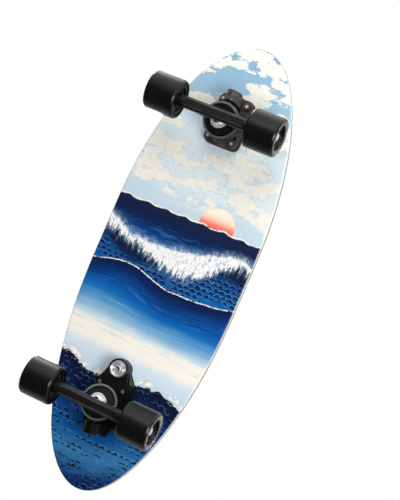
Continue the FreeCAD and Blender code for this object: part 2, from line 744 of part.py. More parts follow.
def wheel(side, hand, truck):
    """Urethane tyre on a spoked core, with two bearings and the spacer between them."""
    name = side + "_" + hand
    sign = 1 if hand == "left" else -1
    if side == "front":
        sign = -sign
    where = truck * place(0, dims.wheelMiddle * sign, 0, ALONG_Y)
    half = dims.wheelWidth / 2
    core_half = dims.coreWidth / 2
    radius = dims.wheelRadius
    keep(turned(name + "_tyre",
                [(dims.coreRadius, -core_half), (dims.coreRadius + 0.8, -half + 2),
                 (dims.coreRadius + 2.2, -half + 0.6), (radius - dims.wheelLip, -half),
                 (radius - dims.wheelLip * 0.4, -half + 0.8), (radius, -half + dims.wheelLip),
                 (radius, half - dims.wheelLip), (radius - dims.wheelLip * 0.4, half - 0.8),
                 (radius - dims.wheelLip, half), (dims.coreRadius + 2.2, half - 0.6),
                 (dims.coreRadius + 0.8, half - 2), (dims.coreRadius, core_half)], where),
         name + "_tyre")
    seat = dims.bearingGap / 2
    face = seat + dims.bearingWidth
    play = NUT_PLAY
    blank = turned(name + "_core_blank",
                   [(dims.bearingRadius - 1.5, -seat), (dims.bearingRadius + play, -seat),
                    (dims.bearingRadius + play, -face - 0.3), (dims.bearingRadius + 1.5, -face - 1),
                    (dims.coreRadius - 2, -core_half), (dims.coreRadius - play, -core_half + 0.5),
                    (dims.coreRadius - play, core_half - 0.5), (dims.coreRadius - 2, core_half),
                    (dims.bearingRadius + 1.5, face + 1), (dims.bearingRadius + play, face + 0.3),
                    (dims.bearingRadius + play, seat), (dims.bearingRadius - 1.5, seat)])
    middle = (dims.bearingRadius + dims.coreRadius) / 2 + 0.4
    windows = []
    for index in range(int(dims.coreSpokes.value)):
        turn = about((0, 0, 1), 360.0 * index / float(dims.coreSpokes))
        spot = turn.multVec(FreeCAD.Vector(float(middle), 0, 0))
        windows.append(cylinder("%s_window_%d" % (name, index), 2.1, dims.coreWidth + 4,
                                place(spot.x, spot.y, -core_half - 2)))
    keep(cut(name + "_core", blank, windows, where), name + "_core")

    shield_in = dims.bearingBore + 2.2
    shield_out = dims.bearingRadius - 1.8
    hollow = 0.4
    bearings = []
    for index, start in enumerate((-face, seat)):
        end = start + dims.bearingWidth
        bearings.append(turned("%s_bearing_%d" % (name, index),
                               [(dims.bearingBore, start), (shield_in, start),
                                (shield_in, start + hollow), (shield_out, start + hollow),
                                (shield_out, start), (dims.bearingRadius, start),
                                (dims.bearingRadius, end), (shield_out, end),
                                (shield_out, end - hollow), (shield_in, end - hollow),
                                (shield_in, end), (dims.bearingBore, end)]))
    keep(group(name + "_bearings", bearings, where), name + "_bearings")
    keep(turned(name + "_spacer",
                [(dims.bearingBore, -seat), (dims.bearingBore + 1.4, -seat),
                 (dims.bearingBore + 1.4, seat), (dims.bearingBore, seat)], where),
         name + "_spacer")


# ---------------------------------------------------------------- rear truck

rear_plate_low = dims.axleDrop - dims.rearRiser - dims.flangeThick
rear_plate_high = dims.axleDrop - dims.rearRiser
REAR_HOLES = (dims.rearBoltInner, dims.rearBoltSpare, dims.rearBoltOuter)
CORNER = 10.0

riser = plate("rear_riser_pad", dims.flangeOuter - 1, dims.flangeInner + 1, dims.flangeWidth + 2,
              rear_plate_high, dims.rearRiser, CORNER + 1)
keep(cut("rear_riser", riser, bolt_hole_tools("rear_riser_hole", REAR_HOLES, dims.boltHole,
                                              rear_plate_high - 2, dims.axleDrop + 2), REAR),
     "rear_riser")
flange = plate("rear_flange", dims.flangeOuter, dims.flangeInner, dims.flangeWidth,
               rear_plate_low, dims.flangeThick, CORNER)
rear_blank = fuse("rear_baseplate_casting",
                  [flange] + seat_and_boss("rear_base", dims.seatRoot, rear_plate_high - 4))
keep(cut("rear_baseplate", rear_blank,
         seat_and_boss_tools("rear_base")
         + bolt_hole_tools("rear_flange_hole", REAR_HOLES, dims.boltHole,
                           rear_plate_low - 2, dims.axleDrop), REAR), "rear_baseplate")
hanger("rear_hanger", REAR)
truck_fittings("rear", REAR)
wheel("rear", "left", REAR)
wheel("rear", "right", REAR)


# ---------------------------------------------------------------- front truck: fixed baseplate

front_plate_low = dims.axleDrop - dims.frontRiser - dims.frontPlate
front_plate_high = dims.axleDrop - dims.frontRiser
FRONT_HOLES = (dims.frontBoltInner, dims.frontBoltOuter)
THRUST_GAP = 0.05          # between the thrust bearings and the arm's faces


def at_pivot(z):
    return PIVOT * place(0, 0, z)


def front_plate(name, grow, low_z, thick):
    """The plate's outline: a round end at the swing pivot that widens to the full width."""
    half = dims.flangeWidth / 2 + grow
    outer = dims.plateOuter - grow
    taper = dims.plateHubRadius + grow - 1
    body = padded(name + "_body", "XY_Plane",
                  [(dims.armReach, -taper), (dims.armReach, taper), (dims.frontBoltInner + 8, half),
                   (outer + 8, half), (outer, half - 8), (outer, 8 - half), (outer + 8, -half),
                   (dims.frontBoltInner + 8, -half)], thick, place(0, 0, low_z))
    hub = cylinder(name + "_hub", dims.plateHubRadius + grow, thick, at_pivot(low_z))
    return fuse(name, [body, hub])


def ring_sector(name, inner, thick, low_z, high_z):
    """A curved block between the spring's legs, concentric with the pivot."""
    half = dims.springRadius - dims.springWire / 2 - dims.postPlay
    tube = cut(name + "_tube",
               cylinder(name + "_outside", inner + thick, high_z - low_z, at_pivot(low_z)),
               [cylinder(name + "_inside", inner, high_z - low_z + 2, at_pivot(low_z - 1))])
    window = block(name + "_window", inner + thick + 1, half * 2, high_z - low_z,
                   dims.armReach - inner - thick - 1, -half, low_z)
    sector = doc.addObject("Part::MultiCommon", name)
    sector.Shapes = [tube, window]
    return sector


pad_blank = front_plate("front_riser_pad", 0.8, front_plate_high, dims.frontRiser)
pad_holes = bolt_hole_tools("front_riser_hole", FRONT_HOLES, dims.boltHole,
                            front_plate_high - 2, dims.axleDrop + 2)
keep(cut("front_riser", pad_blank, pad_holes, FRONT), "front_riser")

base_blank = fuse("front_baseplate_casting",
                  [front_plate("front_plate", 0, front_plate_low, dims.frontPlate),
                   ring_sector("front_plate_post", dims.postInner, dims.postThick,
                               dims.springLow - 1.5, front_plate_low + 2)])
nut_pockets = bolt_hole_tools("front_nut_pocket", FRONT_HOLES, dims.boltNutAcross / 2 + 1.1,
                              front_plate_low - 1, front_plate_low + dims.boltNutHeight + 0.7)
base_tools = (bolt_hole_tools("front_plate_hole", FRONT_HOLES, dims.boltHole,
                              front_plate_low - 2, front_plate_high + 2)
              + nut_pockets
              + [cylinder("front_plate_bore", dims.pivotRadius + NUT_PLAY, 30,
                          at_pivot(front_plate_low - 5)),
                 cylinder("front_plate_head_pocket", dims.pivotHeadRadius + 0.2, 10,
                          at_pivot(front_plate_high - dims.pivotHeadHeight)),
                 cylinder("front_plate_thrust_seat", dims.hubRadius + 0.3, 5,
                          at_pivot(dims.armTop + THRUST_GAP + dims.thrustThick - 5))])
keep(cut("front_baseplate", base_blank, base_tools, FRONT), "front_baseplate")


# ---------------------------------------------------------------- front truck: pivot

nut_high = dims.armBottom - dims.thrustThick - THRUST_GAP
nut_low = nut_high - dims.nutHeight
bolt_low = nut_low + 0.6
head_low = front_plate_high - dims.pivotHeadHeight
pivot_blank = fuse("pivot_bolt_blank",
                   [cylinder("pivot_bolt_shank", dims.pivotRadius, head_low - bolt_low + 1,
                             at_pivot(bolt_low)),
                    cylinder("pivot_bolt_head", dims.pivotHeadRadius, dims.pivotHeadHeight,
                             at_pivot(head_low))])
keep(cut("pivot_bolt", pivot_blank,
         [prism("pivot_bolt_socket", dims.pivotSocket, 5, at_pivot(bolt_low - 1))], FRONT),
     "pivot_bolt")

DISH = 1.8
keep(turned("pivot_nut",
            [(dims.pivotRadius + NUT_PLAY, nut_high), (dims.nutRadius - 0.4, nut_high),
             (dims.nutRadius, nut_high - 0.4), (dims.nutRadius, nut_low + 0.9),
             (dims.nutRadius - 0.9, nut_low), (dims.nutRadius - 2.4, nut_low),
             (dims.nutRadius - 4.2, nut_low + DISH), (dims.pivotRadius + 2.6, nut_low + DISH),
             (dims.pivotRadius + 2, nut_low + 0.7), (dims.pivotRadius + 0.8, nut_low + 0.7),
             (dims.pivotRadius + NUT_PLAY, nut_low + 1.4)],
            FRONT * PIVOT), "pivot_nut")


def thrust_bearing(name, outer, low_z):
    """Two race washers with a cage of needles between, drawn as one closed ring."""
    inner = dims.pivotRadius + 0.2
    third = dims.thrustThick / 3
    return keep(turned(name, [(inner, low_z), (outer, low_z), (outer, low_z + third),
                              (outer - 0.6, low_z + third), (outer - 0.6, low_z + third * 2),
                              (outer, low_z + third * 2), (outer, low_z + dims.thrustThick),
                              (inner, low_z + dims.thrustThick)], FRONT * PIVOT), name)


thrust_bearing("lower_thrust_bearing", dims.hubRadius, dims.armTop + THRUST_GAP)
thrust_bearing("upper_thrust_bearing", dims.nutRadius + 0.6, nut_high)

sleeve_inner = dims.pivotRadius + dims.runningPlay
sleeve_outer = sleeve_inner + dims.sleeveWall
keep(turned("pivot_sleeve",
            [(sleeve_inner, dims.armBottom + 0.1), (sleeve_outer, dims.armBottom + 0.1),
             (sleeve_outer, dims.armTop - 0.1), (sleeve_inner, dims.armTop - 0.1)],
            FRONT * PIVOT), "pivot_sleeve")


def centering_spring(name):
    """A torsion spring round the hub. Its two parallel legs grip the baseplate's post and the
    arm's post from both sides, so that it pushes back whichever way the arm swings."""
    body = doc.addObject("PartDesign::Body", name + "_coil")
    sketch = sketch_on(body, name + "_wire", "XZ_Plane")
    sketch.addGeometry(Part.Circle(FreeCAD.Vector(float(dims.springRadius), 0, 0),
                                   FreeCAD.Vector(0, 0, 1), float(dims.springWire) / 2), False)
    tie(sketch, "DistanceX", 0, 3, dims.springRadius)
    sketch.addConstraint(Sketcher.Constraint("PointOnObject", 0, 3, -1))
    wire = sketch.addConstraint(Sketcher.Constraint("Radius", 0, float(dims.springWire) / 2))
    sketch.setExpression("Constraints[%d]" % wire, (dims.springWire / 2).text)
    doc.recompute()
    coil = body.newObject("PartDesign::AdditiveHelix", name + "_helix")
    coil.Profile = sketch
    coil.ReferenceAxis = (sketch, ["V_Axis"])
    coil.Mode = 0
    bind(coil, "Pitch", dims.springPitch)
    bind(coil, "Height", dims.springPitch * dims.springTurns)
    body.Tip = coil
    start = about((0, 0, 1), -90)
    body.Placement = PIVOT * place(0, 0, dims.springLow, start)
    legs = []
    top = dims.springLow + dims.springPitch * dims.springTurns
    backward = about((0, 1, 0), -90)
    for index, (y, z) in enumerate(((-dims.springRadius, dims.springLow),
                                    (dims.springRadius, top))):
        legs.append(cylinder("%s_leg_%d" % (name, index), dims.springWire / 2, dims.springLeg,
                             PIVOT * place(0, y, z, backward)))
    return keep(fuse(name, [body] + legs, FRONT), name)


centering_spring("centering_spring")


# ---------------------------------------------------------------- front truck: swing arm

def arm_layer(name, half, taper, outer, low_z, high_z):
    """One level of the arm: narrow at the pivot, wide over the deck bolts, tapered at the nose."""
    return padded(name, "XY_Plane",
                  [(dims.armReach + 3, -taper), (dims.armReach + 3, taper),
                   (dims.armReach - dims.armFlare, half), (-16, half), (outer, half - 9),
                   (outer, 9 - half), (-16, -half), (dims.armReach - dims.armFlare, -half)],
                  high_z - low_z, place(0, 0, low_z))


skirt = arm_layer("arm_skirt", dims.armHalf, dims.armEndRadius - 0.4, dims.armTail,
                  dims.armStep, dims.armTop)
web = arm_layer("arm_body", dims.armHalfLow, dims.armEndRadius - 1.2, dims.armTail + 3,
                dims.armBottom, dims.armStep)
draft = fuse("arm_layers", [skirt, web])
end_low = dims.armBottom - dims.armCollar
arm_end = turned("arm_end",
                 [(0, dims.armTop), (dims.armEndRadius, dims.armTop),
                  (dims.armEndRadius, end_low + 4), (dims.armEndRadius - 0.3, end_low + 1.6),
                  (dims.armEndRadius - 0.9, end_low + 0.5), (dims.armEndRadius - 1.8, end_low),
                  (dims.armCollarBore, end_low), (dims.armCollarBore, dims.armBottom),
                  (0, dims.armBottom)], PIVOT)
lugs = [cylinder("arm_lug_%d" % index, dims.lugRadius, dims.armTop - dims.armBottom + 1.5,
                 place(dims.plugAlong, dims.boltAcross / 2 * side, dims.armBottom - 1.5))
        for index, side in enumerate((-1, 1))]
pocket_shape = padded("arm_pocket_fan", "XY_Plane",
                      [(dims.armReach + 2, -13), (dims.armReach + 2, 13),
                       (dims.armReach - 7.5, 17.4), (dims.armReach - 18.5, 17.4),
                       (dims.armReach - 18.5, -17.4), (dims.armReach - 7.5, -17.4)],
                      dims.armTop - dims.pocketRoof + 1, place(0, 0, dims.pocketRoof))
pocket_round = cylinder("arm_pocket_round", dims.pocketRadius,
                        dims.armTop - dims.pocketRoof + 1, at_pivot(dims.pocketRoof))
hub = cylinder("arm_hub", dims.hubRadius, dims.armTop - dims.armBottom, at_pivot(dims.armBottom))
arm_post = ring_sector("arm_post", dims.postInner + dims.postThick + 0.4, dims.postThick,
                       dims.pocketRoof - 1, dims.armTop - 0.6)
shell = cut("arm_shell", fuse("arm_casting", [draft, arm_end] + lugs
                              + seat_and_boss("front_arm", dims.armSeatRoot, dims.armStep)),
            [pocket_shape, pocket_round] + seat_and_boss_tools("front_arm"))
arm_tools = ([cylinder("arm_sleeve_bore", sleeve_outer + NUT_PLAY, 40,
                       at_pivot(dims.armBottom - 10))]
             + [cylinder("arm_lug_hole_%d" % index, dims.plugRadius + NUT_PLAY, 40,
                         place(dims.plugAlong, dims.boltAcross / 2 * side, 50))
                for index, side in enumerate((-1, 1))])
keep(cut("swing_arm", fuse("arm_with_hub", [shell, hub, arm_post]), arm_tools, FRONT),
     "swing_arm")

plugs = []
for index, side in enumerate((-1, 1)):
    spot_y = dims.boltAcross / 2 * side
    low = dims.armBottom - 0.9
    plug = cylinder("plug_thread_%d" % index, dims.plugRadius, 7, place(dims.plugAlong, spot_y, low))
    socket = prism("plug_socket_%d" % index, 3.0, 3, place(dims.plugAlong, spot_y, low - 0.5))
    plugs.append(cut("plug_%d" % index, plug, [socket]))
keep(group("access_plugs", plugs, FRONT), "access_plugs")

hanger("front_hanger", FRONT)
truck_fittings("front", FRONT)
wheel("front", "left", FRONT)
wheel("front", "right", FRONT)


# ---------------------------------------------------------------- checks and files

doc.recompute()
for item in doc.Objects:
    if "Invalid" in item.State or "Error" in item.State:
        raise RuntimeError("%s did not build: %s" % (item.Name, item.State))
for node in nodes:
    if node.Shape.isNull() or not node.Shape.isValid() or not node.Shape.Solids:
        raise RuntimeError("%s is not a valid solid" % node.Label)

os.makedirs("parts", exist_ok=True)
for node in nodes:
    node.Shape.exportStep(os.path.join("parts", node.Label + ".step"))
    print("%-26s %2d solids %10.0f mm3" % (node.Label, len(node.Shape.Solids), node.Shape.Volume))
print(len(nodes), "nodes")
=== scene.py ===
import math

import bmesh
import bpy
from mathutils import Matrix, Vector


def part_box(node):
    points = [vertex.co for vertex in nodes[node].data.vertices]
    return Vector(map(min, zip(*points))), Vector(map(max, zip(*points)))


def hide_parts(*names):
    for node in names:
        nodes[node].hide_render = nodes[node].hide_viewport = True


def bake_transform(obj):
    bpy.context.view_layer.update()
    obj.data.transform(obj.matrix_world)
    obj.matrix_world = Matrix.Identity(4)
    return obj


# A surfskate, seen from below as in a studio product picture. X runs to the nose, Y to the
# rider's left and Z up; the wheels stand on the floor at Z = 0. Lengths are metres, except in
# the materials and the trucks' sizes, which are millimetres in the object's own coordinates.

MM = 0.001
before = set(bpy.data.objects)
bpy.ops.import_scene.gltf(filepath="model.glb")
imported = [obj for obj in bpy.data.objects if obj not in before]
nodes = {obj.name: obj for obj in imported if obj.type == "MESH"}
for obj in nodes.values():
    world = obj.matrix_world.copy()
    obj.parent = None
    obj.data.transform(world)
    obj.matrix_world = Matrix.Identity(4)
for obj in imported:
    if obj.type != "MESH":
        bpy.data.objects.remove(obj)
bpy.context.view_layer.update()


def linear(red, green, blue):
    """An 8-bit screen colour as the renderer's linear colour."""
    def channel(value):
        value /= 255.0
        return value / 12.92 if value <= 0.04045 else ((value + 0.055) / 1.055) ** 2.4
    return (channel(red), channel(green), channel(blue), 1.0)


# ---------------------------------------------------------------- material arithmetic

class Value:
    """A number that a material's nodes work out, for writing formulas."""

    def __init__(self, tree, socket):
        self.tree = tree
        self.socket = socket

    def math(self, kind, *others):
        node = self.tree.nodes.new("ShaderNodeMath")
        node.operation = kind
        for slot, item in zip(node.inputs, (self,) + others):
            plug(self.tree, item, slot)
        return Value(self.tree, node.outputs[0])

    def __add__(self, other):
        return self.math("ADD", other)

    def __sub__(self, other):
        return self.math("SUBTRACT", other)

    def __rsub__(self, other):
        return (self * -1.0) + other

    def __mul__(self, other):
        return self.math("MULTIPLY", other)

    def __truediv__(self, other):
        return self.math("DIVIDE", other)

    def __neg__(self):
        return self * -1.0

    def low(self, other):
        return self.math("MINIMUM", other)

    def high(self, other):
        return self.math("MAXIMUM", other)

    def fract(self):
        return self.math("FRACT")

    def floor(self):
        return self.math("FLOOR")

    def sine(self):
        return self.math("SINE")

    def size(self):
        return self.math("ABSOLUTE")

    def root(self):
        return self.math("SQRT")

    def ramp(self, start, end):
        """0 at start and 1 at end, smoothly, where start may be the larger."""
        node = self.tree.nodes.new("ShaderNodeMapRange")
        node.interpolation_type = "SMOOTHSTEP"
        plug(self.tree, self, node.inputs["Value"])
        node.inputs["From Min"].default_value = min(start, end)
        node.inputs["From Max"].default_value = max(start, end)
        rising = end > start
        node.inputs["To Min"].default_value = 0.0 if rising else 1.0
        node.inputs["To Max"].default_value = 1.0 if rising else 0.0
        return Value(self.tree, node.outputs["Result"])

    def band(self, centre, width, soft):
        """1 within half a width of the centre, fading over soft."""
        return (self - centre).size().ramp(width / 2 + soft, width / 2)


def plug(tree, item, slot):
    """Feeds a Value, a socket or a plain constant into a slot."""
    if isinstance(item, Value):
        tree.links.new(item.socket, slot)
    elif isinstance(item, bpy.types.NodeSocket):
        tree.links.new(item, slot)
    else:
        slot.default_value = item


def distance(a, b):
    return (a * a + b * b).root()


class Material:
    """A Principled material with helpers for procedural colour, roughness and bump."""

    def __init__(self, name, **constants):
        self.material = bpy.data.materials.new(name)
        self.material.use_nodes = True
        self.tree = self.material.node_tree
        self.shader = self.tree.nodes["Principled BSDF"]
        for key, value in constants.items():
            self.shader.inputs[key.replace("_", " ")].default_value = value
        place = self.tree.nodes.new("ShaderNodeTexCoord").outputs["Object"]
        split = self.tree.nodes.new("ShaderNodeSeparateXYZ")
        self.tree.links.new(place, split.inputs[0])
        self.x, self.y, self.z = (Value(self.tree, out) * (1.0 / MM) for out in split.outputs)

    def vector(self, a, b, c=0.0):
        node = self.tree.nodes.new("ShaderNodeCombineXYZ")
        for slot, item in zip(node.inputs, (a, b, c)):
            plug(self.tree, item, slot)
        return node.outputs[0]

    def spot(self):
        return self.vector(self.x, self.y, self.z)

    def noise(self, grain, detail=3.0, rough=0.5, at=None):
        """Noise from 0 to 1 whose features are about grain millimetres across."""
        node = self.tree.nodes.new("ShaderNodeTexNoise")
        self.tree.links.new(at or self.spot(), node.inputs["Vector"])
        node.inputs["Scale"].default_value = 1.0 / grain
        node.inputs["Detail"].default_value = detail
        node.inputs["Roughness"].default_value = rough
        return Value(self.tree, node.outputs["Fac"])

    def cells(self, grain, at=None):
        """Distance from the middle of scattered cells that are about grain millimetres across."""
        node = self.tree.nodes.new("ShaderNodeTexVoronoi")
        self.tree.links.new(at or self.spot(), node.inputs["Vector"])
        node.inputs["Scale"].default_value = 1.0 / grain
        return Value(self.tree, node.outputs["Distance"])

    def facing(self):
        """The surface's own upward tilt: 1 on top, -1 underneath."""
        node = self.tree.nodes.new("ShaderNodeNewGeometry")
        split = self.tree.nodes.new("ShaderNodeSeparateXYZ")
        self.tree.links.new(node.outputs["Normal"], split.inputs[0])
        return Value(self.tree, split.outputs[2])

    def mix(self, low, high, amount):
        node = self.tree.nodes.new("ShaderNodeMix")
        node.data_type = "RGBA"
        plug(self.tree, amount, node.inputs[0])
        plug(self.tree, low, node.inputs[6])
        plug(self.tree, high, node.inputs[7])
        return node.outputs[2]

    def colour(self, value):
        plug(self.tree, value, self.shader.inputs["Base Color"])

    def roughness(self, value):
        plug(self.tree, value, self.shader.inputs["Roughness"])

    def bump(self, height, depth):
        """Relief from a height of 0 to 1 that is depth millimetres deep."""
        node = self.tree.nodes.new("ShaderNodeBump")
        plug(self.tree, height, node.inputs["Height"])
        node.inputs["Distance"].default_value = depth * MM
        self.tree.links.new(node.outputs["Normal"], self.shader.inputs["Normal"])


def paint(material, names):
    for name in names:
        slots = nodes[name].data.materials
        slots.clear()
        slots.append(material.material)


# ---------------------------------------------------------------- camera, light and floor

deck_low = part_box("deck")[0].z
camera_data = bpy.data.cameras.new("camera")
camera = bpy.data.objects.new("camera", camera_data)
bpy.context.scene.collection.objects.link(camera)
bpy.context.scene.camera = camera
camera_data.lens = 86.4
camera_data.sensor_width = 36.0
camera_data.clip_end = 50.0

# The camera looks up at the underside, a little from the board's right. HEADING turns it about
# Z, CLIMB raises it above level and ROLL turns the picture.
HEADING, CLIMB, ROLL = math.radians(93.53), math.radians(73.73), math.radians(116.68)
AHEAD = Vector((math.cos(HEADING) * math.cos(CLIMB), math.sin(HEADING) * math.cos(CLIMB),
                math.sin(CLIMB)))
LEVEL = Vector((math.sin(HEADING), -math.cos(HEADING), 0.0))
LIFT = LEVEL.cross(AHEAD)
RIGHT = LEVEL * math.cos(ROLL) + LIFT * math.sin(ROLL)
UP = LIFT * math.cos(ROLL) - LEVEL * math.sin(ROLL)
camera.location = Vector((-0.0124, -0.5668, deck_low - 1.8219))
camera.rotation_euler = Matrix((RIGHT, UP, -AHEAD)).transposed().to_euler()


def soft_light(name, spot, aim, size, power):
    data = bpy.data.lights.new(name, "AREA")
    data.shape = "DISK"
    data.size = size
    data.energy = power
    light = bpy.data.objects.new(name, data)
    bpy.context.scene.collection.objects.link(light)
    light.location = spot
    light.rotation_euler = (Vector(aim) - Vector(spot)).to_track_quat("-Z", "Y").to_euler()


middle = Vector((0, 0, deck_low))
soft_light("key", middle - AHEAD * 1.6 + RIGHT * 0.6 - UP * 0.3, middle, 0.7, 16)
soft_light("front", middle - AHEAD * 1.7 + Vector((0.1, -0.5, 0.0)), middle, 1.0, 5)
soft_light("fill", middle - AHEAD * 1.5 + RIGHT * 0.2 + UP * 1.1, middle, 1.3, 13)
soft_light("overhead", (0.3, 0.8, 1.8), (0, 0, 0.1), 1.2, 28)
soft_light("side", (-1.4, 1.2, 1.1), (0, 0, 0.1), 0.9, 14)


def make_world():
    """White behind the object for the camera. For everything else a pale dome, brighter above
    the floor than below it, and brightest low down behind the tail."""
    world = bpy.data.worlds.new("studio")
    bpy.context.scene.world = world
    world.use_nodes = True
    tree = world.node_tree
    backdrop = tree.nodes["Background"]
    backdrop.inputs["Color"].default_value = (1.0, 1.0, 1.0, 1.0)
    dome = tree.nodes.new("ShaderNodeBackground")
    dome.inputs["Color"].default_value = (1.0, 1.0, 1.0, 1.0)
    heading = tree.nodes.new("ShaderNodeSeparateXYZ")
    tree.links.new(tree.nodes.new("ShaderNodeTexCoord").outputs["Generated"], heading.inputs[0])
    above = Value(tree, heading.outputs[2]).ramp(-0.15, 0.25) * 0.6
    behind = Value(tree, heading.outputs[0]).ramp(-0.35, -0.9) * 1.4
    plug(tree, above + behind + 0.1, dome.inputs["Strength"])
    choose = tree.nodes.new("ShaderNodeMixShader")
    seen = tree.nodes.new("ShaderNodeLightPath").outputs["Is Camera Ray"]
    tree.links.new(seen, choose.inputs[0])
    tree.links.new(dome.outputs[0], choose.inputs[1])
    tree.links.new(backdrop.outputs[0], choose.inputs[2])
    tree.links.new(choose.outputs[0], tree.nodes["World Output"].inputs["Surface"])


make_world()
bpy.context.scene.view_settings.view_transform = "Standard"


def make_floor():
    """A pale floor that is seen from above only, so that it hides nothing from below."""
    mesh = bpy.data.meshes.new("floor")
    reach = 40.0
    mesh.from_pydata([(-reach, -reach, 0), (reach, -reach, 0), (reach, reach, 0),
                      (-reach, reach, 0)], [], [(0, 1, 2, 3)])
    floor = bpy.data.objects.new("floor", mesh)
    bpy.context.scene.collection.objects.link(floor)
    cover = Material("floor_paper", Roughness=0.7)
    cover.colour((0.86, 0.86, 0.85, 1.0))
    tree = cover.tree
    side = tree.nodes.new("ShaderNodeNewGeometry").outputs["Backfacing"]
    clear = tree.nodes.new("ShaderNodeBsdfTransparent")
    blend = tree.nodes.new("ShaderNodeMixShader")
    tree.links.new(side, blend.inputs[0])
    tree.links.new(cover.shader.outputs[0], blend.inputs[1])
    tree.links.new(clear.outputs[0], blend.inputs[2])
    tree.links.new(blend.outputs[0], tree.nodes["Material Output"].inputs["Surface"])
    mesh.materials.append(cover.material)
    floor.visible_shadow = False
    floor.visible_diffuse = False
    floor.visible_glossy = False


make_floor()

# ---------------------------------------------------------------- the deck's print

class Seascape:
    """The picture printed under the deck: waves, foam and a low sun.

    x runs down the picture, from the tail to the nose, and across runs to its right. Each
    motif is painted over the colour that it is given. Waves follow sums of sines; clouds, foam
    and brush marks come from noise.
    """

    CREAM = linear(250, 244, 230)
    MIST = linear(206, 222, 230)
    INK = linear(96, 118, 142)
    HORIZON = -84.0

    def __init__(self, material):
        self.m = material
        self.x = material.x
        self.across = -material.y
        self.here = material.vector(self.x, self.across)
        self.wobble = material.noise(38.0, 2.0, 0.5, self.here) - 0.5
        self.flutter = material.noise(9.0, 3.0, 0.6, self.here) - 0.5
        self.spray = material.noise(2.6, 2.0, 0.7, self.here) - 0.5
        lobes = material.cells(10.0, self.here) * 9.0 + material.cells(3.8, self.here) * 3.4
        self.fringe = 5.6 - lobes + self.flutter * 5.0
        self.drops = material.cells(2.9, self.here).ramp(0.3, 0.2)

    def strokes(self, grain, off, along):
        """Long brush marks that follow the curve that off is measured from."""
        return self.m.noise(grain, 3.0, 0.6, self.m.vector(off, along))

    def gradient(self, value, stops):
        """A colour for each of a few values, blended evenly in between."""
        node = self.m.tree.nodes.new("ShaderNodeValToRGB")
        first, last = stops[0][0], stops[-1][0]
        line = node.color_ramp.elements
        while len(line) < len(stops):
            line.new(0.5)
        for mark, (spot, colour) in zip(line, stops):
            mark.position = (spot - first) / (last - first)
            mark.color = colour
        plug(self.m.tree, (value - first) / (last - first), node.inputs[0])
        return node.outputs[0]

    def foam(self, base, depth):
        """Froth where depth, the distance in from its edge, is above zero: rounded lobes with
        thin inked rings, and loose drops outside."""
        m = self.m
        inside = depth.ramp(-0.5, 0.5)
        rings = (depth / 5.0).fract().band(0.5, 0.2, 0.16) * depth.ramp(30, 6)
        mottle = m.noise(6.0, 4.0, 0.7, self.here).ramp(0.48, 0.7)
        body = m.mix(self.CREAM, self.MIST, (rings * 0.8 + mottle * 0.7) * 0.5)
        loose = self.drops * depth.ramp(-9.0, -1.0)
        result = m.mix(base, self.CREAM, loose * 0.85)
        result = m.mix(result, body, inside)
        return m.mix(result, self.INK, depth.band(0.2, 0.7, 0.5) * 0.45)

    def sky(self):
        """Pale sky that deepens towards the tail, with soft drifts of cloud."""
        m, x = self.m, self.x
        haze = self.wobble * 40.0 + self.flutter * 16.0
        colour = self.gradient(x + haze * 0.5, [
            (-380, linear(120, 166, 198)), (-290, linear(160, 196, 218)),
            (-225, linear(221, 236, 243)), (-130, linear(226, 238, 242)),
            (-108, linear(204, 222, 232)), (-80, linear(196, 216, 228))])
        drift = m.noise(70.0, 6.0, 0.62, m.vector(x * 1.8, self.across * 0.8))
        above_horizon = x.ramp(-92, -120)
        inside = drift.ramp(0.49, 0.53) * above_horizon
        shade = m.noise(9.0, 4.0, 0.7, self.here).ramp(0.46, 0.7)
        cloud = m.mix(self.CREAM, self.MIST, shade * 0.55)
        colour = m.mix(colour, cloud, inside * 0.95)
        return m.mix(colour, self.INK, drift.band(0.49, 0.004, 0.006) * above_horizon * 0.25)

    def sun(self, base):
        """A plain disc, half set behind the horizon."""
        sunk, right, radius = 4.0, 46.0, 30.0
        off = distance(self.x - self.HORIZON + sunk, self.across - right)
        disc = off.ramp(radius + 0.4, radius - 0.2)
        glow = self.gradient(self.x - self.HORIZON, [
            (-36, linear(255, 250, 236)), (-22, linear(255, 241, 219)),
            (-14, linear(252, 206, 180)), (-7, linear(246, 142, 118)), (0, linear(236, 100, 90))])
        return self.m.mix(base, glow, disc)

    def below_crest(self, middle, height, length, phase):
        """How far a point lies below the top of a wave, whose line is a sum of two sines."""
        turn = self.across * (2.0 * math.pi / length) + phase
        line = turn.sine() * height + (turn * 2.0 + 1.0).sine() * (height * 0.25)
        return self.x - line - middle + self.wobble * 5.0

    def swell(self, base, under, stops, froth):
        """A wave from its crest down: colours by depth, brush marks along it, foam on top."""
        m = self.m
        marks = self.strokes(9.0, under * 1.5, self.across * 0.1)
        fine = self.strokes(2.6, under * 1.5, self.across * 0.05)
        face = self.gradient(under + (marks - 0.5) * 22.0, stops)
        face = m.mix(face, linear(58, 142, 204), fine.ramp(0.53, 0.63) * under.ramp(16, 44) * 0.55)
        face = m.mix(face, linear(4, 30, 80), fine.ramp(0.46, 0.36) * 0.5)
        result = m.mix(base, face, (under + self.flutter * 3.0).ramp(-0.6, 0.6))
        broken = (self.flutter + self.wobble).ramp(-0.2, -0.05)
        lace = (under + self.spray * 3.0).band(0.0, froth, 0.6) * broken
        return m.mix(result, linear(252, 247, 238), lace * 0.92)

